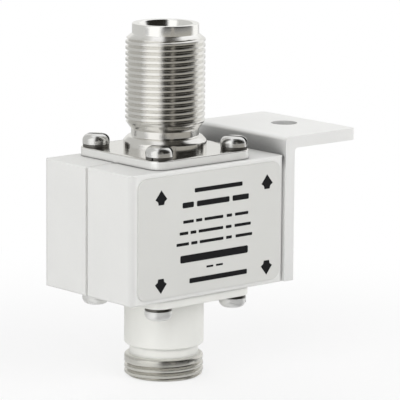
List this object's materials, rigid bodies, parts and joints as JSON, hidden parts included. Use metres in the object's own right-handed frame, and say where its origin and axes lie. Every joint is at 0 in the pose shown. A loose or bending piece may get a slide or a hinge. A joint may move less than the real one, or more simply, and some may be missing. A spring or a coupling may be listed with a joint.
{
  "type": "coax lightning arrestor",
  "caption": "Split metal housing between two threaded female coax jacks on square flanges, with a label plate on its front, a gas tube and capacitor inside and an angle bracket at its side.",
  "frame": {"origin": "middle of the bracket's mounting hole, on the bracket's top face", "axes": "+Z along the coax axis towards the antenna jack, -Y towards the viewer of the label, +X from the coax axis towards the bracket"},
  "size_m": [0.059, 0.028, 0.0712],
  "materials": {
    "housing": "satin clear finish",
    "bracket": "satin clear finish",
    "label": "matt printed",
    "jack_shell": "white bronze plated, bright",
    "insulator": "plain",
    "contact": "gold plated",
    "screw": "bright",
    "washer": "dark",
    "strap": "bare copper colour",
    "capacitor": "matt",
    "tube_ceramic": "matt",
    "electrode": "nickel plated",
    "spring": "bright"
  },
  "bodies": {
    "root": {"front_housing": "housing", "rear_housing": "housing", "housing_screws": "screw", "label_plate": "label", "antenna_jack_shell": "jack_shell", "antenna_jack_insulator": "insulator", "antenna_jack_contact": "contact", "antenna_flange_screws": "screw", "antenna_flange_washers": "washer", "equipment_jack_shell": "jack_shell", "equipment_jack_insulator": "insulator", "equipment_jack_contact": "contact", "equipment_flange_screws": "screw", "equipment_flange_washers": "washer", "mounting_bracket": "bracket", "bracket_screws": "screw", "antenna_line_strap": "strap", "equipment_line_strap": "strap", "blocking_capacitor": "capacitor", "gas_tube_ceramic": "tube_ceramic", "gas_tube_line_electrode": "electrode", "gas_tube_ground_electrode": "electrode", "gas_tube_spring": "spring"}
  },
  "joints": []
}
